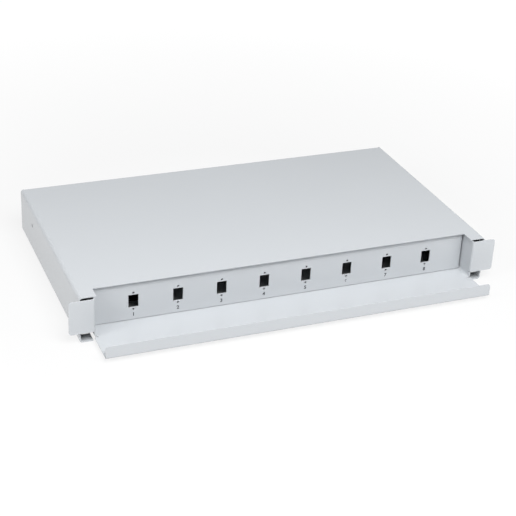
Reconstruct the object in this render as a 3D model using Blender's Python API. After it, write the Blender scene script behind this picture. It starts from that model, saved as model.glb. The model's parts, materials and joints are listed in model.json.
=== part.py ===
"""A sliding fiber termination box: a folded steel case with a drawer on ball-bearing slides.

Lengths are in metres. The model is laid out in the case's own frame: X to the right seen from the
front, Y backwards from the front face of the drawer's ears, Z up from the underside of the case.
The empty "case_datum" then moves that frame back so the bounding box is centred on the origin.
"""

import math

import bmesh
import bpy
from mathutils import Matrix, Vector

SHEET = 0.0012
GAP = 0.0003

# Case
BODY_WIDTH = 0.4342
BODY_HEIGHT = 0.0489
BODY_BACK = 0.2510
PRONG_FRONT = 0.0029
NOTCH_FRONT = 0.0177
FOOT_BEND = 0.0030
TOP_BEND = 0.0035
BASE_OPENING = 0.2036
NOTCH_HALF = 0.2000
FLANGE_BEND = 0.0020
COVER_FLANGE_DROP = 0.0095
REAR_WALL_BACK = BODY_BACK - SHEET - GAP
WALL_TOP = BODY_HEIGHT - SHEET - GAP

# Drawer tray with its ears, front shelf and up-turned lip
TRAY_WIDTH = 0.4064
TRAY_BACK = 0.2320
TRAY_BEND = 0.0037
FLOOR_TOP = 0.0056
SHELF_FRONT = -0.0397
LIP_TOP = 0.0181
LIP_CORNER = 0.0030
EAR_SPAN = 0.4555
EAR_BOTTOM = 0.0115
EAR_TOP = 0.0467
EAR_CORNER = 0.0025
UPSTAND = 0.0120

# Port panel
PANEL_FRONT = 0.0208
PANEL_TOP = 0.0474
PANEL_BOTTOM = 0.0062
PANEL_WIDTH = 0.4026
PANEL_BEND = 0.0016
PANEL_FLANGE = 0.0110
PORT_COUNT = 8
PORT_PITCH = 0.04534
PORT_HEIGHT = 0.0264
PORT_SIZE = (0.0102, 0.0138)
PORT_HOLE_PITCH = 0.0180
PORT_HOLE_RADIUS = 0.0012

# Ball-bearing slides
SLIDE_HEIGHT = 0.0247
OUTER_RAIL = {"height": 0.0350, "depth": 0.0098, "sheet": 0.0010, "front": 0.0060, "back": 0.2260}
INNER_RAIL = {"height": 0.0258, "depth": 0.0082, "sheet": 0.0010, "front": 0.0360, "back": 0.2220}
CAGE = {"depth": 0.0058, "sheet": 0.0005, "front": 0.0830, "back": 0.1470, "inset": 0.0013}
BALLS_IN_ROW = 5
BALL_RADIUS = 0.0015
BALL_INSET = 0.0033
BUMPER_DEPTH = 0.0072

# Fastenings
BASE_SCREW_X = 0.2092
BASE_SCREW_Y = (0.0400, 0.1300, 0.2200)
BASE_SCREW_RADIUS = 0.0014
BASE_SCREW_HEAD = 0.0024
SLIDE_SCREW = (0.1979, 0.0307)
SLIDE_SCREW_RADIUS = 0.0017
REAR_SCREW_X = (-0.180, 0.0, 0.180)
REAR_SCREW_HEIGHT = 0.0430
REAR_SCREW_RADIUS = 0.0015
PANEL_RIVET_Y = PANEL_FRONT + 0.0060
PANEL_RIVET_HEIGHTS = (0.0118, 0.0380)
PANEL_RIVET_RADIUS = 0.0016
FLOOR_SCREW_RADIUS = 0.0014
EARTH_RADIUS = 0.0030

# Rear cable entries and earth bolt
ENTRY_HEIGHT = 0.0205
GLAND_X = 0.1500
PLUG_X = 0.1100
EARTH_X = 0.0300
ENTRY_RADIUS = 0.0096
GLAND_BORE = 0.0060
GLAND_END = 0.2720
COLLAR = 0.0050

# Fibre management in the drawer
CASSETTE_SIZE = (0.1600, 0.1060)
CASSETTE_Y = 0.1420
CASSETTE_CORNER = 0.0150
CASSETTE_RIM = 0.0190
CASSETTE_WALL = 0.0020
CASSETTE_FLOOR = FLOOR_TOP + GAP + 0.0015
CASSETTE_EAR = 0.0030
COMB_X = (-0.0160, 0.0160)
CLIP_Y = {"front": 0.0600, "rear": 0.1750}
CLAMP_Y = 0.2180
CLAMP_SCREW_X = 0.0105

FRONT_Y = -(GLAND_END + SHELF_FRONT) / 2
SIDES = {"left": -1, "right": 1}
# Nodes whose joined folds lie flush with each other, which the exact solver can't close.
FLUSH_JOINS = {"drawer_tray", "port_panel"}

# Outlines -------------------------------------------------------------------------------------


def arc(centre, radius, start, end, steps):
    """Points on an arc, from angle start to angle end in degrees, both included."""
    angles = [math.radians(start + (end - start) * i / steps) for i in range(steps + 1)]
    return [(centre[0] + radius * math.cos(a), centre[1] + radius * math.sin(a)) for a in angles]


def circle(centre, radius, sides=12):
    return arc(centre, radius, 0, 360 - 360 / sides, sides - 1)


def rectangle(low, high):
    return [low, (high[0], low[1]), high, (low[0], high[1])]


def rounded_rectangle(low, high, radii, steps=4):
    """A rectangle whose corners have the given radii: lower right, upper right, upper left, lower left."""
    (x0, y0), (x1, y1) = low, high
    corners = ((x1, y0, -1, 1), (x1, y1, -1, -1), (x0, y1, 1, -1), (x0, y0, 1, 1))
    points = []
    for i, (x, y, dx, dy) in enumerate(corners):
        radius = radii[i]
        if radius:
            start = -90 + 90 * i
            points += arc((x + dx * radius, y + dy * radius), radius, start, start + 90, steps)
        else:
            points.append((x, y))
    return points


def folded(path, sheet, bend, steps=4):
    """Cross-section of a sheet folded along the left of a path. Bend is one outer radius, or one a corner."""
    path = [Vector(p) for p in path]
    near, far = [], []
    for i, point in enumerate(path):
        before = (point - path[i - 1]).normalized() if i else None
        after = (path[i + 1] - point).normalized() if i + 1 < len(path) else None
        along = before or after
        left = Vector((-along.y, along.x))
        if not (before and after):
            near.append(point)
            far.append(point + left * sheet)
            continue
        turn = math.copysign(1, before.x * after.y - before.y * after.x)
        angle = before.angle(after)
        outer = bend[i - 1] if isinstance(bend, tuple) else bend
        radius = outer if turn > 0 else outer - sheet
        start = point - before * radius * math.tan(angle / 2)
        centre = start + left * turn * radius
        for k in range(steps + 1):
            spoke = Matrix.Rotation(turn * angle * k / steps, 2) @ (-left * turn)
            near.append(centre + spoke * radius)
            far.append(centre + spoke * (radius - turn * sheet))
    return [tuple(p) for p in near + far[::-1]]


def mirrored(outline):
    return [(-u, v) for u, v in outline]


# Solids ---------------------------------------------------------------------------------------

PLACE = {
    "x": lambda u, v, w: (w, u, v),
    "y": lambda u, v, w: (u, w, v),
    "z": lambda u, v, w: (u, v, w),
}


def new_object(name, bm, parent):
    bmesh.ops.recalc_face_normals(bm, faces=bm.faces)
    mesh = bpy.data.meshes.new(name)
    bm.to_mesh(mesh)
    bm.free()
    obj = bpy.data.objects.new(name, mesh)
    obj.parent = parent
    bpy.context.scene.collection.objects.link(obj)
    return obj


def solid(name, parent, axis, outline, start, end):
    """A prism whose outline lies across the axis, from start to end along it."""
    bm = bmesh.new()
    place = PLACE[axis]
    first, second = ([bm.verts.new(place(u, v, w)) for u, v in outline] for w in (start, end))
    bm.faces.new(first)
    bm.faces.new(second)
    for i in range(len(outline)):
        bm.faces.new((first[i - 1], first[i], second[i], second[i - 1]))
    return new_object(name, bm, parent)


def turned(name, parent, centre, profile, sides=24):
    """A solid turned about an axis along Y through centre. The closed profile is (radius, y)."""
    bm = bmesh.new()
    rings = []
    for radius, y in profile:
        points = circle(centre, radius, sides) if radius else [centre]
        rings.append([bm.verts.new((x, y, z)) for x, z in points])
    for k, ring in enumerate(rings):
        other = rings[k - 1]
        for i in range(sides):
            j = (i + 1) % sides
            corners = (ring[i % len(ring)], ring[j % len(ring)], other[j % len(other)], other[i % len(other)])
            corners = list(dict.fromkeys(corners))
            if len(corners) > 2:
                bm.faces.new(corners)
    return new_object(name, bm, parent)


def boolean(obj, tool, operation):
    """Cuts tool from obj, or joins it on. The tool itself isn't part of the model."""
    tool.hide_render = True
    tool.display_type = "WIRE"
    modifier = obj.modifiers.new(operation.lower(), "BOOLEAN")
    modifier.operation = operation
    modifier.solver = "MANIFOLD" if obj.name in FLUSH_JOINS else "EXACT"
    modifier.object = tool
    return obj


def cut(obj, *prisms):
    for prism in prisms:
        boolean(obj, solid(obj.name + ".cutter", obj.parent, *prism), "DIFFERENCE")
    return obj


def join(obj, *prisms):
    for prism in prisms:
        boolean(obj, solid(obj.name + ".addition", obj.parent, *prism), "UNION")
    return obj


def across(sign, near, far):
    """A range of X on one side of the middle, in rising order."""
    return sorted((sign * near, sign * far))


def hole(axis, centre, radius, at, sides=12):
    """A round cutter through a sheet near the given place on the axis."""
    reach = 0.003
    return (axis, circle(centre, radius, sides), at - reach, at + reach)


# Materials ------------------------------------------------------------------------------------


def material(name, colour, roughness, metallic=0.0):
    made = bpy.data.materials.new(name)
    made.use_nodes = True
    shader = made.node_tree.nodes["Principled BSDF"]
    shader.inputs["Base Color"].default_value = (*colour, 1.0)
    shader.inputs["Roughness"].default_value = roughness
    shader.inputs["Metallic"].default_value = metallic
    return made


def make_finishes():
    return {
        "powder_coat": material("powder_coat", (0.70, 0.73, 0.76), 0.38),
        "zinc_steel": material("zinc_steel", (0.62, 0.63, 0.64), 0.35, 1.0),
        "dark_steel": material("dark_steel", (0.06, 0.06, 0.065), 0.45, 1.0),
        "black_nylon": material("black_nylon", (0.03, 0.03, 0.032), 0.50),
        "seal_rubber": material("seal_rubber", (0.02, 0.02, 0.02), 0.80),
        "cassette_plastic": material("cassette_plastic", (0.78, 0.79, 0.78), 0.42),
        "lid_plastic": material("lid_plastic", (0.55, 0.60, 0.64), 0.22),
        "comb_plastic": material("comb_plastic", (0.10, 0.22, 0.42), 0.48),
        "brass": material("brass", (0.72, 0.56, 0.25), 0.30, 1.0),
    }


# Case -----------------------------------------------------------------------------------------


def case_cover(case):
    """Top and side walls folded from one sheet, with flanges below the floor and down the rear."""
    half, top, back, flat = BODY_WIDTH / 2, BODY_HEIGHT, BODY_BACK, BODY_WIDTH / 2 - TOP_BEND
    path = [(BASE_OPENING, 0), (half, 0), (half, top), (-half, top), (-half, 0), (-BASE_OPENING, 0)]
    section = folded(path, SHEET, (FOOT_BEND, TOP_BEND, TOP_BEND, FOOT_BEND))
    cover = solid("case_cover", case, "y", section, PRONG_FRONT, back)
    above, below = top + 0.001, top - SHEET - 0.001
    notch = rectangle((-NOTCH_HALF, -0.010), (NOTCH_HALF, NOTCH_FRONT))
    strip = rectangle((-flat, back - FLANGE_BEND), (flat, back + 0.001))
    cut(cover, ("z", notch, below, above), ("z", strip, below, above))
    turn_down = [(back, top - COVER_FLANGE_DROP), (back, top), (back - 0.008, top)]
    join(cover, ("x", folded(turn_down, SHEET, FLANGE_BEND), -flat + GAP, flat - GAP))
    holes = [hole("y", (x, REAR_SCREW_HEIGHT), REAR_SCREW_RADIUS + GAP, back) for x in REAR_SCREW_X]
    holes += [hole("x", SLIDE_SCREW, SLIDE_SCREW_RADIUS + GAP, sign * half) for sign in SIDES.values()]
    holes += [hole("z", place, BASE_SCREW_HEAD + GAP, 0) for place in base_screws()]
    return cut(cover, *holes)


def base_plate(case):
    """Floor behind the front notch, with a rear wall folded up from it inside the cover."""
    back, low = REAR_WALL_BACK, SHEET + GAP
    narrow, wide = BODY_WIDTH / 2 - FOOT_BEND - GAP, BODY_WIDTH / 2 - SHEET - GAP
    floor = rectangle((-narrow, NOTCH_FRONT), (narrow, back - 0.004))
    plate = solid("base_plate", case, "z", floor, low, low + SHEET)
    turn_up = folded([(back - 0.008, low), (back, low), (back, low + 0.008)], SHEET, FLANGE_BEND)
    shoulder, round_x, round_z = low + FOOT_BEND, wide - TOP_BEND, WALL_TOP - TOP_BEND
    wall = [(-narrow, low + FLANGE_BEND), (narrow, low + FLANGE_BEND), (wide, shoulder)]
    wall += arc((round_x, round_z), TOP_BEND, 0, 90, 4) + arc((-round_x, round_z), TOP_BEND, 90, 180, 4)
    wall += [(-wide, shoulder)]
    join(plate, ("x", turn_up, -narrow, narrow), ("y", wall, back - SHEET, back))
    holes = [hole("z", place, BASE_SCREW_RADIUS + GAP, low) for place in base_screws()]
    return cut(plate, *rear_holes(back), *holes)


def base_screws():
    """Places of the screws that hold the cover's lower flanges to the base plate."""
    return [(sign * BASE_SCREW_X, y) for sign in SIDES.values() for y in BASE_SCREW_Y]


def base_screw(case, name, place):
    """Flush screw up through a lower flange of the cover into the base plate."""
    screw = solid(name, case, "z", circle(place, BASE_SCREW_HEAD), 0.0001, SHEET - 0.0001)
    return join(screw, ("z", circle(place, BASE_SCREW_RADIUS), SHEET - 0.0004, 2 * SHEET + GAP + 0.0013))


def rear_holes(at):
    """Cable entries, cover screw holes and the earth bolt's hole through the rear wall."""
    places = [(x, ENTRY_HEIGHT, ENTRY_RADIUS, 24) for x in (-GLAND_X, -PLUG_X, PLUG_X, GLAND_X)]
    places += [(x, REAR_SCREW_HEIGHT, REAR_SCREW_RADIUS + GAP, 12) for x in REAR_SCREW_X]
    places += [(EARTH_X, ENTRY_HEIGHT, EARTH_RADIUS + GAP, 16)]
    return [hole("y", (x, z), radius, at, sides) for x, z, radius, sides in places]


def slide_screw(case, name, sign):
    """Screw through the case wall and the outer rail, with its nut on the inner end."""
    outer = BODY_WIDTH / 2
    inside = outer - SHEET - OUTER_RAIL["sheet"] - 2 * GAP
    shank = across(sign, outer - 0.0003, inside - 0.0006)
    screw = solid(name, case, "x", circle(SLIDE_SCREW, SLIDE_SCREW_RADIUS), *shank)
    return join(screw, ("x", circle(SLIDE_SCREW, 0.0030, 6), *across(sign, inside, inside - 0.0012)))


def rear_screw(case, name, x):
    """Pan-head screw through the cover's rear flange and the rear wall."""
    seat, radius, head = BODY_BACK + GAP, REAR_SCREW_RADIUS, 0.0028
    profile = [(0, seat - 0.0080), (radius, seat - 0.0074), (radius, seat), (head, seat)]
    profile += [(head, seat + 0.0009), (head - 0.0008, seat + 0.0017), (0.0010, seat + 0.0018)]
    profile += [(0.0010, seat + 0.0009), (0, seat + 0.0009)]
    return turned(name, case, (x, REAR_SCREW_HEIGHT), profile, 12)


# Cable glands, plugs and earth bolt -------------------------------------------------------------


def gland(case, side, x):
    """Body, lock nut, compression cap and rubber seal of one cable gland."""
    centre, bore, thread = (x, ENTRY_HEIGHT), GLAND_BORE, ENTRY_RADIUS - 0.0004
    outside, inside = REAR_WALL_BACK + GAP, REAR_WALL_BACK - SHEET - GAP
    mouth = outside + COLLAR + 0.0085
    profile = [(bore, inside - 0.008), (thread, inside - 0.008), (thread, mouth), (bore, mouth)]
    body = turned(f"gland_body_{side}", case, centre, profile)
    collar = solid(body.name + ".collar", case, "y", circle(centre, 0.0127, 6), outside, outside + COLLAR)
    cut(collar, ("y", circle(centre, bore + 0.001, 24), outside - 0.002, outside + COLLAR + 0.002))
    boolean(body, collar, "UNION")

    nut = solid(f"gland_nut_{side}", case, "y", circle(centre, 0.0138, 6), inside - 0.004, inside)
    cut(nut, hole("y", centre, thread + GAP, inside - 0.002, 24))

    start, end, sleeve = outside + COLLAR + GAP, GLAND_END, thread + GAP
    profile = [(sleeve, start), (0.0116, start), (0.0116, end - 0.006), (0.0098, end - 0.0018)]
    profile += [(0.0078, end), (0.0048, end), (0.0048, mouth + 0.0015), (sleeve, mouth + GAP)]
    cap = turned(f"gland_cap_{side}", case, centre, profile)

    inner, outer, first, last = 0.0036, bore - GAP, outside + 0.003, mouth - GAP
    profile = [(inner, first), (outer, first), (outer, last), (inner, last)]
    seal = turned(f"gland_seal_{side}", case, centre, profile)
    return body, nut, cap, seal


def blanking_plug(case, side, x):
    """Domed plug pressed into an unused cable entry."""
    face, skirt = REAR_WALL_BACK + GAP, ENTRY_RADIUS - GAP
    profile = [(0, face + 0.0020), (0, face + 0.0008), (skirt - 0.0014, face + 0.0002)]
    profile += [(skirt - 0.0014, face - 0.0060), (skirt, face - 0.0060), (skirt, face)]
    profile += [(0.0118, face), (0.0116, face + 0.0010), (0.0090, face + 0.0019)]
    return turned(f"blanking_plug_{side}", case, (x, ENTRY_HEIGHT), profile)


def earth_set(case):
    """Bolt with its head inside, and a washer and nut on the outside of the rear wall."""
    centre, outside, inside = (EARTH_X, ENTRY_HEIGHT), REAR_WALL_BACK + GAP, REAR_WALL_BACK - SHEET - GAP
    washer_end = outside + 0.0012
    hexagon = circle(centre, 0.0057, 6)
    bolt = solid("earth_bolt", case, "y", circle(centre, EARTH_RADIUS, 16), inside - 0.002, outside + 0.013)
    join(bolt, ("y", hexagon, inside - 0.004, inside))
    washer = solid("earth_washer", case, "y", circle(centre, 0.0062, 16), outside, washer_end)
    cut(washer, hole("y", centre, EARTH_RADIUS + GAP, outside, 16))
    nut = solid("earth_nut", case, "y", hexagon, washer_end + GAP, washer_end + 0.0053)
    cut(nut, hole("y", centre, EARTH_RADIUS + GAP, washer_end + 0.0026, 16))
    return bolt, washer, nut


# Slides ---------------------------------------------------------------------------------------


def rail_section(sign, web, rail, lips=()):
    """C-shaped cross-section that opens towards the drawer from a web at the given X."""
    half, open_x = rail["height"] / 2, web - rail["depth"]
    path = [(open_x, half), (web, half), (web, -half), (open_x, -half)]
    if lips:
        path = [(open_x, half - lips), *path, (open_x, -half + lips)]
    path = [(x, SLIDE_HEIGHT + z) for x, z in reversed(path)]
    outline = folded(path, rail["sheet"], rail["sheet"] * 1.3, 1)
    return outline if sign > 0 else mirrored(outline)


def outer_rail(case, side, sign):
    """Cabinet member of a slide, fixed to the case wall."""
    web = BODY_WIDTH / 2 - SHEET - GAP
    section = rail_section(sign, web, OUTER_RAIL, 0.0022)
    rail = solid(f"slide_outer_{side}", case, "y", section, OUTER_RAIL["front"], OUTER_RAIL["back"])
    return cut(rail, hole("x", SLIDE_SCREW, SLIDE_SCREW_RADIUS + GAP, sign * web))


def rail_bumper(case, side, sign):
    """Rubber stop at the rear end of the outer rail, where the closed drawer rests."""
    web = BODY_WIDTH / 2 - SHEET - OUTER_RAIL["sheet"] - 2 * GAP
    x0, x1 = across(sign, web - BUMPER_DEPTH, web)
    half = OUTER_RAIL["height"] / 2 - OUTER_RAIL["sheet"] - 2 * GAP
    outline = rectangle((x0, SLIDE_HEIGHT - half), (x1, SLIDE_HEIGHT + half))
    front = INNER_RAIL["back"] + GAP
    return solid(f"slide_bumper_{side}", case, "y", outline, front, front + 0.0034)


def inner_rail(drawer, side, sign):
    """Drawer member of a slide, fixed to the tray wall and open towards the case."""
    web = TRAY_WIDTH / 2 + GAP
    half, tip = INNER_RAIL["height"] / 2, web + INNER_RAIL["depth"]
    path = [(tip, half), (web, half), (web, -half), (tip, -half)]
    path = [(x, SLIDE_HEIGHT + z) for x, z in path]
    section = folded(path, INNER_RAIL["sheet"], INNER_RAIL["sheet"] * 1.3, 1)
    section = section if sign > 0 else mirrored(section)
    return solid(f"slide_inner_{side}", drawer, "y", section, INNER_RAIL["front"], INNER_RAIL["back"])


def ball_cage(cage_datum, side, sign):
    """U-shaped retainer between the two rails, with a row of balls in each leg."""
    low, high = INNER_RAIL["height"] / 2, OUTER_RAIL["height"] / 2 - OUTER_RAIL["sheet"]
    middle = (low + high) / 2
    web = BODY_WIDTH / 2 - SHEET - OUTER_RAIL["sheet"] - GAP - CAGE["inset"]
    section = rail_section(sign, web, {**CAGE, "height": 2 * middle + CAGE["sheet"]})
    cage = solid(f"slide_cage_{side}", cage_datum, "y", section, CAGE["front"], CAGE["back"])
    bm = bmesh.new()
    pitch = (CAGE["back"] - CAGE["front"]) / BALLS_IN_ROW
    for row in (-1, 1):
        for i in range(BALLS_IN_ROW):
            y = CAGE["front"] + pitch * (i + 0.5)
            place = Matrix.Translation((sign * (web - BALL_INSET), y, SLIDE_HEIGHT + row * middle))
            bmesh.ops.create_icosphere(bm, subdivisions=1, radius=BALL_RADIUS, matrix=place)
    return boolean(cage, new_object(cage.name + ".balls", bm, cage_datum), "UNION")


# Drawer ---------------------------------------------------------------------------------------


def drawer_tray(drawer):
    """Floor, side walls, ears, front shelf, up-turned lip and rear upstand folded from one sheet."""
    outer, bottom, back = TRAY_WIDTH / 2, FLOOR_TOP - SHEET, TRAY_BACK
    inner, flat = outer - SHEET, outer - TRAY_BEND
    wall_front, ear_bend = 0.0006, FLANGE_BEND
    path = [(-outer, EAR_TOP), (-outer, bottom), (outer, bottom), (outer, EAR_TOP)]
    tray = solid("drawer_tray", drawer, "y", folded(path, SHEET, TRAY_BEND), wall_front, back - FLANGE_BEND)
    ear_inner = inner + ear_bend
    ear = rounded_rectangle(
        (ear_inner, EAR_BOTTOM), (EAR_SPAN / 2, EAR_TOP), (EAR_CORNER, EAR_CORNER, 0, 0)
    )
    bend = folded([(inner, 0.008), (inner, 0), (ear_inner + 0.001, 0)], SHEET, ear_bend)
    for sign in SIDES.values():
        x0, x1 = across(sign, inner - 0.001, outer + 0.001)
        cut(tray, ("z", rectangle((x0, -0.010), (x1, 0.004)), EAR_BOTTOM - 0.0009, EAR_TOP + 0.001))
        turn = (lambda outline: outline) if sign > 0 else mirrored
        join(tray, ("z", turn(bend), EAR_BOTTOM, EAR_TOP), ("y", turn(ear), 0, SHEET))
    shelf = folded([(SHELF_FRONT, 0.008), (SHELF_FRONT, bottom), (-0.0006, bottom)], SHEET, FLANGE_BEND)
    neck = rectangle((-flat, -0.002), (flat, 0.002))
    lip = rounded_rectangle((-outer, 0.0070), (outer, LIP_TOP), (0, LIP_CORNER, LIP_CORNER, 0))
    turn_up = [(back - 0.008, bottom), (back, bottom), (back, FLOOR_TOP + UPSTAND)]
    upstand = folded(turn_up, SHEET, FLANGE_BEND)
    join(
        tray,
        ("x", shelf, -outer, outer),
        ("z", neck, bottom, FLOOR_TOP),
        ("y", lip, SHELF_FRONT, SHELF_FRONT + SHEET),
        ("x", upstand, -flat, flat),
    )
    for x in (-GLAND_X, GLAND_X):
        opening = rectangle((x - 0.012, FLOOR_TOP + 0.002), (x + 0.012, 0.030))
        cut(tray, ("y", opening, back - 0.003, back + 0.001))
    holes = [hole("z", place, FLOOR_SCREW_RADIUS + GAP, FLOOR_TOP) for place in floor_screws()]
    return cut(tray, *holes, *panel_rivet_holes(outer))


def port_panel(drawer):
    """Recessed front panel with folded edges and a row of adapter cut-outs with their screw holes."""
    half, y, low, high = PANEL_WIDTH / 2, PANEL_FRONT, PANEL_BOTTOM, PANEL_TOP
    flat, corner, back = half - PANEL_BEND, 0.0025, y + PANEL_FLANGE
    front = [(-half, low + corner), *arc((-half + corner, low + corner), corner, 180, 270, 4)]
    front += [*arc((half - corner, low + corner), corner, 270, 360, 4), (flat, low + corner)]
    front = [*front[1:], (flat, high - PANEL_BEND), (-flat, high - PANEL_BEND), (-flat, low + corner)]
    panel = solid("port_panel", drawer, "y", front, y, y + SHEET)
    sides = folded([(-half, back), (-half, y), (half, y), (half, back)], SHEET, PANEL_BEND)
    top = folded([(back, high), (y, high), (y, high - 0.006)], SHEET, PANEL_BEND)
    join(panel, ("z", sides, low + corner - 0.0002, high - PANEL_BEND), ("x", top, -flat, flat))
    width, height = PORT_SIZE
    for x in port_places():
        low_corner = (x - width / 2, PORT_HEIGHT - height / 2)
        high_corner = (x + width / 2, PORT_HEIGHT + height / 2)
        cut(panel, ("y", rectangle(low_corner, high_corner), y - 0.001, y + 0.003))
        for offset in (-PORT_HOLE_PITCH / 2, PORT_HOLE_PITCH / 2):
            cut(panel, hole("y", (x, PORT_HEIGHT + offset), PORT_HOLE_RADIUS, y, 10))
    return cut(panel, *panel_rivet_holes(half))


def port_places():
    return [PORT_PITCH * (i - (PORT_COUNT - 1) / 2) for i in range(PORT_COUNT)]


def panel_rivet_holes(at):
    """Holes for the rivets that hold the panel's side flanges to the tray walls."""
    places = [(PANEL_RIVET_Y, z) for z in PANEL_RIVET_HEIGHTS]
    radius = PANEL_RIVET_RADIUS + GAP
    return [hole("x", place, radius, sign * at) for place in places for sign in SIDES.values()]


def panel_rivet(drawer, name, sign, z):
    """Blind rivet through the tray wall and the panel's side flange, headed on the outside."""
    centre = (PANEL_RIVET_Y, z)
    outside, inside = TRAY_WIDTH / 2 + GAP, PANEL_WIDTH / 2 - SHEET - GAP
    shank = across(sign, inside - 0.0005, outside + 0.0005)
    rivet = solid(name, drawer, "x", circle(centre, PANEL_RIVET_RADIUS), *shank)
    head = ("x", circle(centre, 0.0030), *across(sign, outside, outside + 0.0009))
    tail = ("x", circle(centre, 0.0024), *across(sign, inside - 0.0013, inside))
    return join(rivet, head, tail)


# Fibre management -------------------------------------------------------------------------------


def cassette_screws():
    x = CASSETTE_SIZE[0] / 2 + 0.0060
    return [(-x, CASSETTE_Y), (x, CASSETTE_Y)]


def floor_screws():
    """Every screw through the tray's floor: one at each cassette ear and two at each cable clamp."""
    offsets = (-CLAMP_SCREW_X, CLAMP_SCREW_X)
    return cassette_screws() + [(x + dx, CLAMP_Y) for x in (-GLAND_X, GLAND_X) for dx in offsets]


def cassette_outline(inset):
    half_width, half_depth = (size / 2 - inset for size in CASSETTE_SIZE)
    low, high = (-half_width, CASSETTE_Y - half_depth), (half_width, CASSETTE_Y + half_depth)
    return rounded_rectangle(low, high, (CASSETTE_CORNER - inset,) * 4, 5)


def cassette_base(drawer):
    """Splice cassette: a shallow box with fixing ears, cable mouths and two curved fibre guides."""
    foot, floor, rim, cy = FLOOR_TOP + GAP, CASSETTE_FLOOR, CASSETTE_RIM, CASSETTE_Y
    base = solid("cassette_base", drawer, "z", cassette_outline(0), foot, rim)
    cut(base, ("z", cassette_outline(CASSETTE_WALL), floor, rim + 0.005))
    guide = arc((0.0440, cy), 0.0230, -60, 60, 6) + arc((0.0440, cy), 0.0215, 60, -60, 6)
    for (x, y), sign in zip(cassette_screws(), SIDES.values()):
        x0, x1 = sorted((x - sign * 0.007, x + sign * 0.005))
        join(base, ("z", rectangle((x0, y - 0.007), (x1, y + 0.007)), foot, foot + CASSETTE_EAR))
        join(base, ("z", guide if sign > 0 else mirrored(guide), floor - 0.0005, rim - 0.002))
        cut(base, ("z", circle((x, y), FLOOR_SCREW_RADIUS + GAP), foot - 0.001, foot + 0.004))
        for edge in (cy - CASSETTE_SIZE[1] / 2, cy + CASSETTE_SIZE[1] / 2):
            mouth = rectangle((sign * 0.055 - 0.007, floor + 0.002), (sign * 0.055 + 0.007, rim + 0.002))
            cut(base, ("y", mouth, edge - 0.003, edge + 0.003))
    return base


def cassette_lid(drawer):
    """Thin lid over the cassette, with locating ribs inside the rim and two finger notches."""
    seat, cy = CASSETTE_RIM + GAP, CASSETTE_Y
    lid = solid("cassette_lid", drawer, "z", cassette_outline(0), seat, seat + 0.0012)
    for sign in (-1, 1):
        edge = CASSETTE_SIZE[1] / 2
        outer, inner = edge - CASSETTE_WALL - 0.0006, edge - CASSETTE_WALL - 0.0018
        y0, y1 = sorted((cy + sign * inner, cy + sign * outer))
        join(lid, ("z", rectangle((-0.045, y0), (0.045, y1)), seat - 0.0025, seat + 0.0006))
        cut(lid, ("z", circle((0, cy + sign * edge), 0.0080, 20), seat - 0.004, seat + 0.003))
    return lid


def splice_comb(drawer, name, x):
    """Comb that grips the splice sleeves: a bar with slots across it."""
    foot, slots, pitch = CASSETTE_FLOOR + GAP, 8, 0.0060
    half_width, half_length, height = 0.0040, 0.0270, 0.0085
    low, high = (x - half_width, CASSETTE_Y - half_length), (x + half_width, CASSETTE_Y + half_length)
    outline = rectangle(low, high)
    comb = solid(name, drawer, "z", outline, foot, foot + height)
    for i in range(slots):
        y = CASSETTE_Y + pitch * (i - (slots - 1) / 2)
        slot = rectangle((y - 0.0013, foot + 0.0025), (y + 0.0013, foot + height + 0.001))
        cut(comb, ("x", slot, x - 0.006, x + 0.006))
    return comb


def floor_screw(drawer, name, place, seat):
    """Slotted pan-head screw through a part on the tray's floor."""
    x, y = place
    tip = FLOOR_TOP - SHEET - 0.0008
    screw = solid(name, drawer, "z", circle(place, FLOOR_SCREW_RADIUS), tip, seat + 0.0008)
    join(screw, ("z", circle(place, 0.0028), seat, seat + 0.0018))
    slot = rectangle((x - 0.004, y - 0.0004), (x + 0.004, y + 0.0004))
    return cut(screw, ("z", slot, seat + 0.001, seat + 0.003))


def fibre_clip(drawer, name, x, y):
    """Arched clip on the tray's floor that keeps fibre loops together, open along its top."""
    foot, half, top, slot = FLOOR_TOP + GAP, 0.0090, FLOOR_TOP + GAP + 0.0140, 0.0012
    path = [(-slot, top), (-half, top), (-half, foot), (half, foot), (half, top), (slot, top)]
    section = folded([(x + dx, z) for dx, z in path], 0.0018, 0.0040, 3)
    return solid(name, drawer, "y", section, y - 0.005, y + 0.005)


def cable_clamp(drawer, side, x):
    """Saddle, clamping bar and two screws that hold the cable."""
    foot, y, half = FLOOR_TOP + GAP, CLAMP_Y, 0.0150
    saddle_top, bar_foot, bar_top = foot + 0.0060, foot + 0.0100, foot + 0.0130
    cable = ("y", circle((x, foot + 0.0075), 0.0045, 16), y - 0.010, y + 0.010)
    saddle_outline = rectangle((x - half, y - 0.0065), (x + half, y + 0.0065))
    bar_outline = rectangle((x - half, y - 0.0050), (x + half, y + 0.0050))
    saddle = solid(f"clamp_saddle_{side}", drawer, "z", saddle_outline, foot, saddle_top)
    bar = solid(f"clamp_bar_{side}", drawer, "z", bar_outline, bar_foot, bar_top)
    places = [(x - CLAMP_SCREW_X, y), (x + CLAMP_SCREW_X, y)]
    bores = [circle(place, FLOOR_SCREW_RADIUS + GAP) for place in places]
    holes = [("z", bore, foot - 0.001, bar_top + 0.001) for bore in bores]
    cut(saddle, cable, *holes)
    cut(bar, cable, *holes)
    names = [f"clamp_screw_{side}_{i + 1}" for i in range(2)]
    screws = [floor_screw(drawer, n, place, bar_top + GAP) for n, place in zip(names, places)]
    return saddle, bar, *screws


# Assembly -------------------------------------------------------------------------------------


def datum(name, parent=None, location=(0.0, 0.0, 0.0)):
    empty = bpy.data.objects.new(name, None)
    empty.location = location
    empty.parent = parent
    bpy.context.scene.collection.objects.link(empty)
    return empty


def give(finish, *objects):
    for obj in objects:
        obj.data.materials.append(finish)


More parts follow.
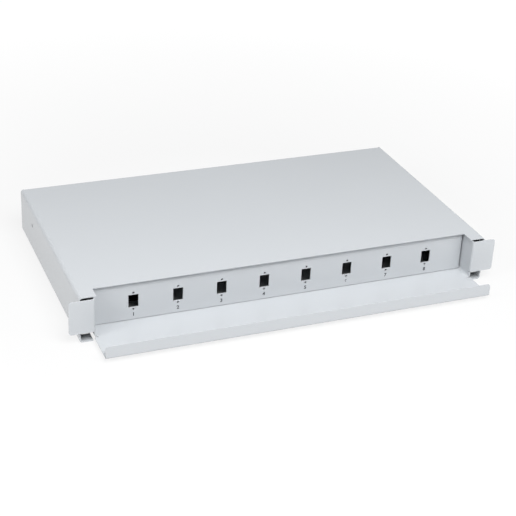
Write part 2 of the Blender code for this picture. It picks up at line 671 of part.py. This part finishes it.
def shade_round_faces_smooth():
    for obj in bpy.context.scene.objects:
        if obj.type == "MESH":
            obj.data.shade_smooth()
            obj.data.set_sharp_from_angle(angle=math.radians(35))


def build_case(case, finishes):
    give(finishes["powder_coat"], case_cover(case), base_plate(case))
    for side, sign in SIDES.items():
        give(finishes["zinc_steel"], outer_rail(case, side, sign))
        give(finishes["dark_steel"], slide_screw(case, f"slide_screw_{side}", sign))
        body, nut, cap, seal = gland(case, side, sign * GLAND_X)
        give(finishes["black_nylon"], body, nut, cap, blanking_plug(case, side, sign * PLUG_X))
        give(finishes["seal_rubber"], seal, rail_bumper(case, side, sign))
    for i, x in enumerate(REAR_SCREW_X):
        give(finishes["zinc_steel"], rear_screw(case, f"rear_screw_{i + 1}", x))
    for i, place in enumerate(base_screws()):
        give(finishes["zinc_steel"], base_screw(case, f"base_screw_{i + 1}", place))
    give(finishes["brass"], *earth_set(case))


def build_drawer(drawer, finishes):
    give(finishes["powder_coat"], drawer_tray(drawer), port_panel(drawer))
    for side, sign in SIDES.items():
        give(finishes["zinc_steel"], inner_rail(drawer, side, sign))
        for i, z in enumerate(PANEL_RIVET_HEIGHTS):
            give(finishes["zinc_steel"], panel_rivet(drawer, f"panel_rivet_{side}_{i + 1}", sign, z))
        saddle, bar, *screws = cable_clamp(drawer, side, sign * GLAND_X)
        give(finishes["black_nylon"], saddle)
        give(finishes["zinc_steel"], bar, *screws)
        for row, y in CLIP_Y.items():
            give(finishes["black_nylon"], fibre_clip(drawer, f"fibre_clip_{side}_{row}", sign * GLAND_X, y))
    give(finishes["cassette_plastic"], cassette_base(drawer))
    give(finishes["lid_plastic"], cassette_lid(drawer))
    for i, x in enumerate(COMB_X):
        give(finishes["comb_plastic"], splice_comb(drawer, f"splice_comb_{i + 1}", x))
    for i, place in enumerate(cassette_screws()):
        seat = FLOOR_TOP + GAP + CASSETTE_EAR + GAP
        give(finishes["zinc_steel"], floor_screw(drawer, f"cassette_screw_{i + 1}", place, seat))


def main():
    for obj in list(bpy.data.objects):
        bpy.data.objects.remove(obj)
    finishes = make_finishes()
    case = datum("case_datum", location=(0.0, FRONT_Y, 0.0))
    build_case(case, finishes)
    build_drawer(datum("drawer_datum", case), finishes)
    for side, sign in SIDES.items():
        give(finishes["zinc_steel"], ball_cage(datum(f"cage_datum_{side}", case), side, sign))
    shade_round_faces_smooth()
    bpy.context.view_layer.update()


main()
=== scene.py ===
"""Looks of a sliding fiber termination box: finishes, printed digits, fine hardware, light and camera.

Lengths are in metres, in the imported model's frame: X to the right seen from the front, Y backwards, Z up.
"""

import json
import math

import bmesh
import bpy
from mathutils import Matrix, Vector


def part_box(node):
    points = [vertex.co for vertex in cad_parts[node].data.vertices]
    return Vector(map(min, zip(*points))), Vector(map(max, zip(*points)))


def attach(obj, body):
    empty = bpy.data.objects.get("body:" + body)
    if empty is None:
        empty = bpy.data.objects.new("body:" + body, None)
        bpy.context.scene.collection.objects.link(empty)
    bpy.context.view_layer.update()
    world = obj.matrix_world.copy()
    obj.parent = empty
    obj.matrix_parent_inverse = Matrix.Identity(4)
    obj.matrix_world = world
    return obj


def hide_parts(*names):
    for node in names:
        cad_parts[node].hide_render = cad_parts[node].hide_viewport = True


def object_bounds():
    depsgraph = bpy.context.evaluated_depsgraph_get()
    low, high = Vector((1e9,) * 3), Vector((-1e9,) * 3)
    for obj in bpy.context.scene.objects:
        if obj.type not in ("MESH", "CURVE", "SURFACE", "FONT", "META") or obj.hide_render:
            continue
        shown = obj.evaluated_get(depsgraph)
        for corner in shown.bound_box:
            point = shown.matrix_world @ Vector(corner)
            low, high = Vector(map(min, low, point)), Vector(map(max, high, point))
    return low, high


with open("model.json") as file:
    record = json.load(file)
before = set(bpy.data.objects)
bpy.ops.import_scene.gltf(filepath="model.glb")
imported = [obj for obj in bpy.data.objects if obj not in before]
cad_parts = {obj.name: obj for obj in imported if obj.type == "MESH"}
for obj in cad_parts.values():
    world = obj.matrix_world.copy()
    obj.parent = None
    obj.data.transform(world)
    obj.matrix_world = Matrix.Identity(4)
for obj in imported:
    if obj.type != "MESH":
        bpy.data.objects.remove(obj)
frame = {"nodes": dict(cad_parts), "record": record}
SIZE_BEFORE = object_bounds()
NODES = frame["nodes"]
SIDES = {"left": -1, "right": 1}

# Camera: where it stands, its angles in degrees, and its lens in millimetres
CAMERA_PLACE = (-0.4759, -1.16185, 0.6668)
CAMERA_AZIMUTH = -22.655
CAMERA_ELEVATION = 27.949
CAMERA_ROLL = 2.766
CAMERA_LENS = 92.35

# Port labels
PORT_COUNT = 8
PORT_PITCH = 0.04534
PORT_HEIGHT = 0.0264
DIGIT_DROP = 0.0148
DIGIT_SIZE = 0.0052
DIGIT_WEIGHT = 0.00018
DIGIT_THICKNESS = 0.00002

# Ball cages
BALLS_IN_ROW = 5
BALL_RADIUS = 0.0015
BALL_INSET = 0.0033
CAGE_SHEET = 0.0005

# Softened edges: wider on sheet metal than on small parts
SHEET_NODES = ("case_cover", "base_plate", "drawer_tray", "port_panel")
SHEET_EDGE = 0.00022
PART_EDGE = 0.00014
CAGE_EDGE = 0.00008
SHARP_ANGLE = math.radians(38)

# Rear screws and earth bolt
REAR_SCREWS = 3
SHANK_RADIUS = 0.0015
HEAD_HEIGHT = 0.0018
CROSS_LENGTH = 0.0028
CROSS_WIDTH = 0.00064
CROSS_DEPTH = 0.0010
THREAD_RADIUS = 0.0030
THREAD_CORE = 0.0026
THREAD_PITCH = 0.0010

# Gland caps
CAP_BORE = 0.0095
CAP_MOUTH = 0.0048
CAP_RIB_PITCH = 6
CAP_RIB_DEPTH = 0.955

# Floor: how far it reaches, and the distances from its centre between which its own light grows
FLOOR_REACH = 6.0
FLOOR_GAP = 0.0002
GLOW_START = 0.30
GLOW_END = 0.90
FLOOR_GLOW_NEAR = 0.80
FLOOR_GLOW_FAR = 0.94

# Light: the room's brightness in front and behind, and each lamp's power in watts
ROOM_FRONT = 0.02
ROOM_BACK = 0.50
FRONT_POWER = 27.0
TOP_POWER = 4.2
LEFT_POWER = 6.0
RIGHT_POWER = 1.8


# Finishes ---------------------------------------------------------------------------------------


class Finish:
    """A procedural material: a Principled shader with nodes added in front of it."""

    def __init__(self, name, roughness, metallic=0.0, specular=0.5):
        self.material = bpy.data.materials.new(name)
        self.material.use_nodes = True
        self.tree = self.material.node_tree
        self.shader = self.tree.nodes["Principled BSDF"]
        self.shader.inputs["Metallic"].default_value = metallic
        self.shader.inputs["Specular IOR Level"].default_value = specular
        self.shader.inputs["Roughness"].default_value = roughness
        self.place = self.tree.nodes.new("ShaderNodeTexCoord").outputs["Object"]

    def link(self, output, target):
        self.tree.links.new(output, target)

    def noise(self, scale, detail=2.0, stretch=(1.0, 1.0, 1.0)):
        mapping = self.tree.nodes.new("ShaderNodeMapping")
        mapping.inputs["Scale"].default_value = stretch
        self.link(self.place, mapping.inputs["Vector"])
        node = self.tree.nodes.new("ShaderNodeTexNoise")
        node.inputs["Scale"].default_value = scale
        node.inputs["Detail"].default_value = detail
        self.link(mapping.outputs["Vector"], node.inputs["Vector"])
        return node.outputs["Fac"]

    def spread(self, value, low, high):
        """Maps a noise's usual range onto low to high."""
        node = self.tree.nodes.new("ShaderNodeMapRange")
        node.inputs["From Min"].default_value = 0.3
        node.inputs["From Max"].default_value = 0.7
        node.inputs["To Min"].default_value = low
        node.inputs["To Max"].default_value = high
        self.link(value, node.inputs["Value"])
        return node.outputs["Result"]

    def colour(self, value, dark, light):
        ramp = self.tree.nodes.new("ShaderNodeValToRGB")
        ramp.color_ramp.elements[0].position = 0.3
        ramp.color_ramp.elements[0].color = (*dark, 1.0)
        ramp.color_ramp.elements[1].position = 0.7
        ramp.color_ramp.elements[1].color = (*light, 1.0)
        self.link(value, ramp.inputs["Fac"])
        self.link(ramp.outputs["Color"], self.shader.inputs["Base Color"])
        return self

    def rough(self, value, low, high):
        self.link(self.spread(value, low, high), self.shader.inputs["Roughness"])
        return self

    def bump(self, value, depth, strength):
        node = self.tree.nodes.new("ShaderNodeBump")
        node.inputs["Distance"].default_value = depth
        node.inputs["Strength"].default_value = strength
        self.link(value, node.inputs["Height"])
        self.link(node.outputs["Normal"], self.shader.inputs["Normal"])
        return self


def powder_coat():
    """Satin powder coat: a faint orange-peel surface under an even pale grey."""
    finish = Finish("powder_coat", 0.22, specular=0.32)
    finish.colour(finish.noise(12.0), (0.470, 0.490, 0.511), (0.475, 0.495, 0.516))
    finish.rough(finish.noise(35.0, 3.0), 0.20, 0.24)
    return finish.bump(finish.noise(500.0, 1.0), 0.00001, 0.10).material


def zinc_steel():
    """Zinc-plated strip with a fine rolled grain along its length."""
    finish = Finish("zinc_steel", 0.32, metallic=1.0)
    finish.colour(finish.noise(60.0, 4.0), (0.56, 0.57, 0.58), (0.70, 0.70, 0.68))
    grain = finish.noise(1500.0, 2.0, (1.0, 0.03, 1.0))
    finish.rough(grain, 0.24, 0.42)
    return finish.bump(grain, 0.00001, 0.3).material


def dark_steel():
    """Blackened steel of screws."""
    finish = Finish("dark_steel", 0.45, metallic=0.9)
    finish.colour(finish.noise(900.0, 3.0), (0.030, 0.030, 0.033), (0.060, 0.060, 0.064))
    return finish.rough(finish.noise(400.0), 0.38, 0.52).material


def moulded(name, dark, light, low, high, depth=0.00002):
    """Moulded plastic or rubber with a fine spark-eroded texture."""
    finish = Finish(name, (low + high) / 2, specular=0.45)
    finish.colour(finish.noise(90.0, 3.0), dark, light)
    finish.rough(finish.noise(220.0), low, high)
    return finish.bump(finish.noise(1200.0, 3.0), depth, 0.5).material


def brass():
    """Turned brass with fine marks round its axis."""
    finish = Finish("brass", 0.28, metallic=1.0)
    finish.colour(finish.noise(120.0, 4.0), (0.62, 0.45, 0.19), (0.78, 0.61, 0.30))
    return finish.rough(finish.noise(600.0, 2.0, (1.0, 0.1, 1.0)), 0.20, 0.38).material


def print_ink():
    """Screen-printed black ink."""
    finish = Finish("print_ink", 0.5, specular=0.3)
    finish.colour(finish.noise(3000.0), (0.035, 0.037, 0.042), (0.055, 0.058, 0.064))
    return finish.rough(finish.noise(900.0), 0.42, 0.58).material


FINISHES = {
    "powder_coat": powder_coat(),
    "zinc_steel": zinc_steel(),
    "dark_steel": dark_steel(),
    "black_nylon": moulded("black_nylon", (0.018, 0.018, 0.020), (0.030, 0.030, 0.033), 0.42, 0.58),
    "seal_rubber": moulded("seal_rubber", (0.010, 0.010, 0.010), (0.018, 0.018, 0.018), 0.68, 0.85),
    "cassette_plastic": moulded("cassette_plastic", (0.60, 0.61, 0.60), (0.66, 0.67, 0.66), 0.34, 0.48),
    "lid_plastic": moulded("lid_plastic", (0.30, 0.33, 0.36), (0.36, 0.39, 0.42), 0.12, 0.24, depth=0.000004),
    "comb_plastic": moulded("comb_plastic", (0.03, 0.09, 0.22), (0.05, 0.12, 0.28), 0.40, 0.55),
    "brass": brass(),
}
INK = print_ink()
SLOT_OF = {s["node"]: s["material_slot"] for s in frame["record"]["subparts"]}


# Mesh helpers -----------------------------------------------------------------------------------


def add_object(name, data):
    obj = bpy.data.objects.new(name, data)
    bpy.context.scene.collection.objects.link(obj)
    return obj


def mesh_from(name, bm):
    mesh = bpy.data.meshes.new(name)
    bm.to_mesh(mesh)
    bm.free()
    return mesh


def evaluated_mesh(obj):
    """A copy of an object's mesh with its modifiers applied."""
    bpy.context.view_layer.update()
    return bpy.data.meshes.new_from_object(obj.evaluated_get(bpy.context.evaluated_depsgraph_get()))


def new_piece(name, bm, slot, body, replaced=None):
    """A detailed piece that rides on a body, and stands for a CAD node if one is named."""
    bmesh.ops.remove_doubles(bm, verts=bm.verts, dist=1e-7)
    bmesh.ops.recalc_face_normals(bm, faces=bm.faces)
    mesh = mesh_from(name, bm)
    obj = add_object(name, mesh)
    mesh.materials.append(FINISHES[slot])
    mesh.shade_smooth()
    mesh.set_sharp_from_angle(angle=SHARP_ANGLE)
    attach(obj, body)
    if replaced:
        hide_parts(replaced)
    return obj


def soften(obj, width):
    """Rounds a piece's sharp edges with a fine bevel."""
    bevel = obj.modifiers.new("soft_edges", "BEVEL")
    bevel.width = width
    bevel.segments = 2
    bevel.limit_method = "ANGLE"
    bevel.angle_limit = SHARP_ANGLE
    normals = obj.modifiers.new("even_normals", "WEIGHTED_NORMAL")
    normals.keep_sharp = True


def lathe(bm, centre, profile, sides, ripple=None):
    """Turns a closed (radius, y) profile about an axis along Y. Ripple gives each radius its waviness."""
    rings = []
    for radius, y in profile:
        if radius == 0:
            rings.append([bm.verts.new((centre[0], y, centre[1]))])
            continue
        ring = []
        for i in range(sides):
            angle = 2 * math.pi * i / sides
            r = radius * (ripple(radius, y, i) if ripple else 1.0)
            ring.append(bm.verts.new((centre[0] + r * math.cos(angle), y, centre[1] + r * math.sin(angle))))
        rings.append(ring)
    for k, ring in enumerate(rings):
        other = rings[k - 1]
        for i in range(sides):
            j = (i + 1) % sides
            corners = (ring[i % len(ring)], ring[j % len(ring)], other[j % len(other)], other[i % len(other)])
            corners = list(dict.fromkeys(corners))
            if len(corners) > 2:
                bm.faces.new(corners)


def cut_with(obj, bm):
    """Cuts a bmesh's shape from a piece for good, so that no cutter stays in the scene."""
    tool = add_object("cutter", mesh_from("cutter", bm))
    modifier = obj.modifiers.new("cut", "BOOLEAN")
    modifier.operation = "DIFFERENCE"
    modifier.solver = "EXACT"
    modifier.use_self = True
    modifier.object = tool
    cut = evaluated_mesh(obj)
    obj.modifiers.remove(modifier)
    obj.data = cut
    bpy.data.objects.remove(tool)


def axis_of(node):
    """Where the axis of a node turned along Y stands, as (x, z)."""
    low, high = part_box(node)
    return (low.x + high.x) / 2, (low.z + high.z) / 2


# CAD nodes --------------------------------------------------------------------------------------


def finish_cad_nodes():
    for name, obj in NODES.items():
        obj.data.materials.clear()
        obj.data.materials.append(FINISHES[SLOT_OF[name]])
        weld = obj.modifiers.new("weld", "WELD")
        weld.merge_threshold = 0.000002
        soften(obj, SHEET_EDGE if name in SHEET_NODES else PART_EDGE)


# Printed digits ---------------------------------------------------------------------------------


def port_digits():
    """The number under each port, as thin ink on the panel's face."""
    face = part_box("port_panel")[0].y
    for i in range(PORT_COUNT):
        curve = bpy.data.curves.new(f"digit_curve_{i + 1}", "FONT")
        curve.body = str(i + 1)
        curve.size = DIGIT_SIZE
        curve.align_x = "CENTER"
        curve.align_y = "CENTER"
        curve.extrude = DIGIT_THICKNESS / 2
        curve.offset = DIGIT_WEIGHT
        text = add_object(f"digit_text_{i + 1}", curve)
        mesh = evaluated_mesh(text)
        bpy.data.objects.remove(text)
        x = PORT_PITCH * (i - (PORT_COUNT - 1) / 2)
        place = Matrix.Translation((x, face - DIGIT_THICKNESS, PORT_HEIGHT - DIGIT_DROP))
        mesh.transform(place @ Matrix.Rotation(math.radians(90), 4, "X"))
        mesh.materials.clear()
        mesh.materials.append(INK)
        obj = add_object(f"port_digit_{i + 1}", mesh)
        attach(obj, "drawer")


# Fine hardware ----------------------------------------------------------------------------------


def rear_screws():
    """Pan-head screws with a cross recess."""
    for i in range(REAR_SCREWS):
        name = f"rear_screw_{i + 1}"
        low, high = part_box(name)
        centre, seat, top = axis_of(name), high.y - HEAD_HEIGHT, high.y
        head = (high.x - low.x) / 2
        bm = bmesh.new()
        profile = [(0, low.y), (SHANK_RADIUS * 0.6, low.y), (SHANK_RADIUS, low.y + 0.0006)]
        profile += [(SHANK_RADIUS, seat), (head * 0.97, seat), (head, seat + 0.0002), (head, seat + 0.0008)]
        profile += [(head * 0.96, seat + 0.0012), (head * 0.84, seat + 0.00155), (head * 0.55, top), (0, top)]
        lathe(bm, centre, profile, 40)
        screw = new_piece(f"rear_screw_head_{i + 1}", bm, "zinc_steel", "case", name)
        cutter = bmesh.new()
        place = Matrix.Translation((centre[0], top, centre[1]))
        for width, height in ((CROSS_LENGTH, CROSS_WIDTH), (CROSS_WIDTH, CROSS_LENGTH)):
            box = place @ Matrix.Diagonal((width, 2 * CROSS_DEPTH, height, 1))
            bmesh.ops.create_cube(cutter, size=1.0, matrix=box)
        cut_with(screw, cutter)


def gland_caps():
    """Compression caps with gripping ribs round their sides."""
    for side in SIDES:
        name = f"gland_cap_{side}"
        low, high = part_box(name)
        start, end, radius = low.y, high.y, (high.x - low.x) / 2
        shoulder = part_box(f"gland_body_{side}")[1].y + 0.0003
        profile = [(CAP_BORE, start), (radius * 0.96, start), (radius, start + 0.0005)]
        profile += [(radius, end - 0.0075), (radius * 0.97, end - 0.0058), (radius * 0.91, end - 0.0034)]
        profile += [(radius * 0.82, end - 0.0014), (radius * 0.74, end - 0.0004), (radius * 0.66, end)]
        profile += [(CAP_MOUTH + 0.0006, end)]
        profile += [(CAP_MOUTH, end - 0.0006), (CAP_MOUTH, shoulder + 0.0012), (CAP_BORE, shoulder)]

        def ripple(r, y, i, start=start, end=end, radius=radius):
            ribbed = r > radius * 0.9 and start + 0.0003 < y < end - 0.003
            return CAP_RIB_DEPTH if ribbed and i % CAP_RIB_PITCH in (2, 3, 4) else 1.0

        bm = bmesh.new()
        lathe(bm, axis_of(name), profile, 96, ripple)
        new_piece(f"gland_cap_ribbed_{side}", bm, "black_nylon", "case", name)


def earth_bolt():
    """Brass bolt with a hexagon head inside and a threaded shank through the rear wall."""
    low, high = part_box("earth_bolt")
    centre = axis_of("earth_bolt")
    head_end = low.y + 0.0040
    bm = bmesh.new()
    profile = [(0, head_end - 0.001), (THREAD_RADIUS, head_end - 0.001)]
    y = head_end + 0.0012
    while y + THREAD_PITCH < high.y - 0.0004:
        profile += [(THREAD_RADIUS, y), (THREAD_CORE, y + THREAD_PITCH / 2)]
        y += THREAD_PITCH
    profile += [(THREAD_RADIUS, y), (THREAD_CORE, high.y), (0, high.y)]
    lathe(bm, centre, profile, 32)
    new_piece("earth_bolt_thread", bm, "brass", "case", "earth_bolt")
    bm = bmesh.new()
    head = (high.x - low.x) / 2
    profile = [(0, low.y), (head * 0.93, low.y), (head, low.y + 0.0004), (head, head_end), (0, head_end)]
    lathe(bm, centre, profile, 6)
    soften(new_piece("earth_bolt_head", bm, "brass", "case"), PART_EDGE)


def ball_cages():
    """Retainer strips with round balls in their pockets."""
    for side, sign in SIDES.items():
        name = f"slide_cage_{side}"
        low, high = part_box(name)
        web = high.x if sign > 0 else low.x
        inner = low.x if sign > 0 else high.x
        leg = (high.z - low.z) / 2 - BALL_RADIUS
        mid = (low.z + high.z) / 2
        half = CAGE_SHEET / 2
        section = [(inner, -leg - half), (web, -leg - half), (web, leg + half), (inner, leg + half)]
        section += [(inner, leg - half), (web - sign * CAGE_SHEET, leg - half)]
        section += [(web - sign * CAGE_SHEET, -leg + half), (inner, -leg + half)]
        bm = bmesh.new()
        rings = [[bm.verts.new((x, y, mid + z)) for x, z in section] for y in (low.y, high.y)]
        for ring in rings:
            bm.faces.new(ring)
        for i in range(len(section)):
            bm.faces.new((rings[0][i - 1], rings[0][i], rings[1][i], rings[1][i - 1]))
        retainer = new_piece(f"ball_retainer_{side}", bm, "zinc_steel", f"cage_{side}", name)
        soften(retainer, CAGE_EDGE)
        bm = bmesh.new()
        pitch = (high.y - low.y) / BALLS_IN_ROW
        for row in (-1, 1):
            for i in range(BALLS_IN_ROW):
                y = low.y + pitch * (i + 0.5)
                place = Matrix.Translation((web - sign * BALL_INSET, y, mid + row * leg))
                bmesh.ops.create_uvsphere(bm, u_segments=24, v_segments=12, radius=BALL_RADIUS, matrix=place)
        new_piece(f"bearing_balls_{side}", bm, "zinc_steel", f"cage_{side}")


# Studio -----------------------------------------------------------------------------------------


def floor():
    """A pale floor with a light of its own, so that it fades into white around the box."""
    bm = bmesh.new()
    bmesh.ops.create_grid(bm, x_segments=2, y_segments=2, size=FLOOR_REACH)
    obj = add_object("floor", mesh_from("floor", bm))
    obj.location = (0.0, 0.0, SIZE_BEFORE[0][2] - FLOOR_GAP)
    finish = Finish("floor", 0.7, specular=0.0)
    finish.colour(finish.noise(1.5), (0.12, 0.12, 0.12), (0.13, 0.13, 0.13))
    finish.shader.inputs["Emission Color"].default_value = (1.0, 1.0, 1.0, 1.0)
    distance = finish.tree.nodes.new("ShaderNodeVectorMath")
    distance.operation = "LENGTH"
    finish.link(finish.place, distance.inputs[0])
    glow = finish.tree.nodes.new("ShaderNodeMapRange")
    glow.inputs["From Min"].default_value = GLOW_START
    glow.inputs["From Max"].default_value = GLOW_END
    glow.inputs["To Min"].default_value = FLOOR_GLOW_NEAR
    glow.inputs["To Max"].default_value = FLOOR_GLOW_FAR
    finish.link(distance.outputs["Value"], glow.inputs["Value"])
    finish.link(glow.outputs["Result"], finish.shader.inputs["Emission Strength"])
    obj.data.materials.append(finish.material)


def area_light(name, place, aim, size, energy):
    light = bpy.data.lights.new(name, "AREA")
    light.shape = "RECTANGLE"
    light.size, light.size_y = size
    light.energy = energy
    obj = add_object(name, light)
    obj.location = place
    obj.rotation_euler = (Vector(aim) - Vector(place)).to_track_quat("-Z", "Y").to_euler()


def studio():
    """A dim room with soft lamps in front, above, on the left and low on the right."""
    world = bpy.data.worlds.new("studio")
    world.use_nodes = True
    tree = world.node_tree
    background = tree.nodes["Background"]
    background.inputs["Color"].default_value = (0.985, 0.992, 1.0, 1.0)
    split = tree.nodes.new("ShaderNodeSeparateXYZ")
    tree.links.new(tree.nodes.new("ShaderNodeTexCoord").outputs["Generated"], split.inputs["Vector"])
    strength = tree.nodes.new("ShaderNodeMapRange")
    strength.inputs["From Min"].default_value = -1.0
    strength.inputs["To Min"].default_value = ROOM_FRONT
    strength.inputs["To Max"].default_value = ROOM_BACK
    tree.links.new(split.outputs["Y"], strength.inputs["Value"])
    tree.links.new(strength.outputs["Result"], background.inputs["Strength"])
    bpy.context.scene.world = world
    area_light("front", (0.05, -1.0, 1.25), (0.0, -0.10, 0.0), (1.0, 0.8), FRONT_POWER)
    area_light("top", (-0.1, -0.25, 1.5), (0.0, -0.05, 0.0), (1.2, 1.0), TOP_POWER)
    area_light("left", (-1.0, -0.45, 0.7), (0.0, -0.05, 0.0), (0.6, 0.6), LEFT_POWER)
    area_light("right", (0.70, -0.85, 0.45), (0.0, -0.10, 0.0), (0.6, 0.5), RIGHT_POWER)
    bpy.context.scene.view_settings.view_transform = "Standard"
    bpy.context.scene.view_settings.look = "None"


def camera():
    """Stands at the place, turned by azimuth and elevation, and then rolled about the line of sight."""
    azimuth, elevation, roll = (math.radians(a) for a in (CAMERA_AZIMUTH, CAMERA_ELEVATION, CAMERA_ROLL))
    ahead = Vector((
        -math.sin(azimuth) * math.cos(elevation),
        math.cos(azimuth) * math.cos(elevation),
        -math.sin(elevation),
    ))
    right = ahead.cross(Vector((0.0, 0.0, 1.0))).normalized()
    up = right.cross(ahead)
    level = Matrix((right, up, -ahead)).transposed()
    turned = level @ Matrix.Rotation(roll, 3, "Z")
    data = bpy.data.cameras.new("camera")
    data.sensor_width = 36.0
    data.lens = CAMERA_LENS
    data.clip_start = 0.05
    obj = add_object("camera", data)
    obj.matrix_world = Matrix.Translation(CAMERA_PLACE) @ turned.to_4x4()
    bpy.context.scene.camera = obj


finish_cad_nodes()
port_digits()
rear_screws()
gland_caps()
earth_bolt()
ball_cages()
floor()
studio()
camera()
